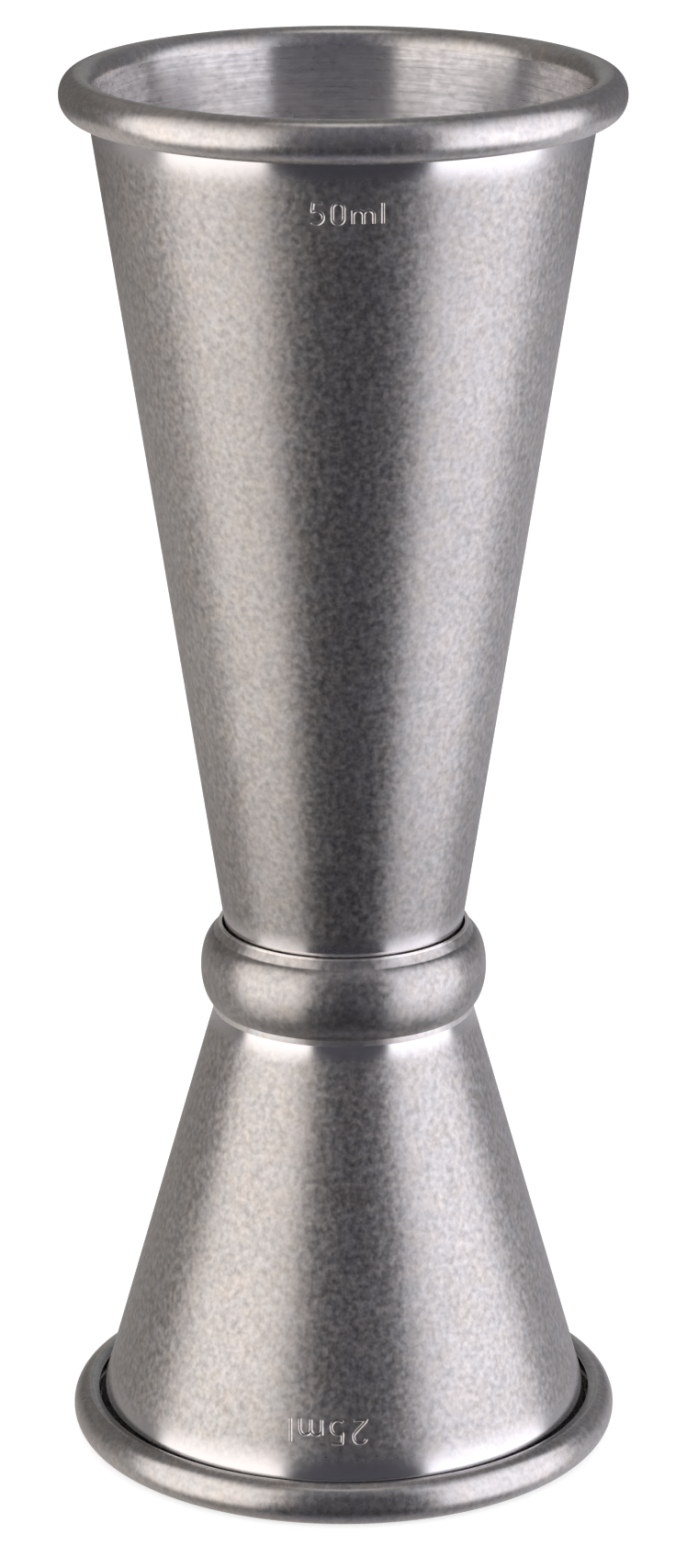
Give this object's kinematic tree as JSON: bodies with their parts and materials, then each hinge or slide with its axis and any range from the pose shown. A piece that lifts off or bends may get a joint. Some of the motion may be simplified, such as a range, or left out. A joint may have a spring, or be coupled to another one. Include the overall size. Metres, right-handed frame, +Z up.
{
  "type": "cocktail jigger",
  "caption": "Double-ended cocktail jigger: a tall and a short steel cone joined base to base, with rolled rims and a convex collar round the waist.",
  "frame": {"origin": "centre of the small cup's rim, on the plane that the jigger stands on", "axes": "+Z up the common axis of both cups, towards the large cup's rim; the measure marks face -Y"},
  "size_m": [0.0456, 0.0456, 0.115],
  "materials": {
    "cup_steel": "tumbled satin outside, fine turned lines inside",
    "collar_steel": "tumbled satin",
    "weld_metal": "dull, as welded"
  },
  "bodies": {
    "root": {"upper_cup": "cup_steel", "lower_cup": "cup_steel", "waist_collar": "collar_steel", "base_weld": "weld_metal"}
  },
  "joints": []
}
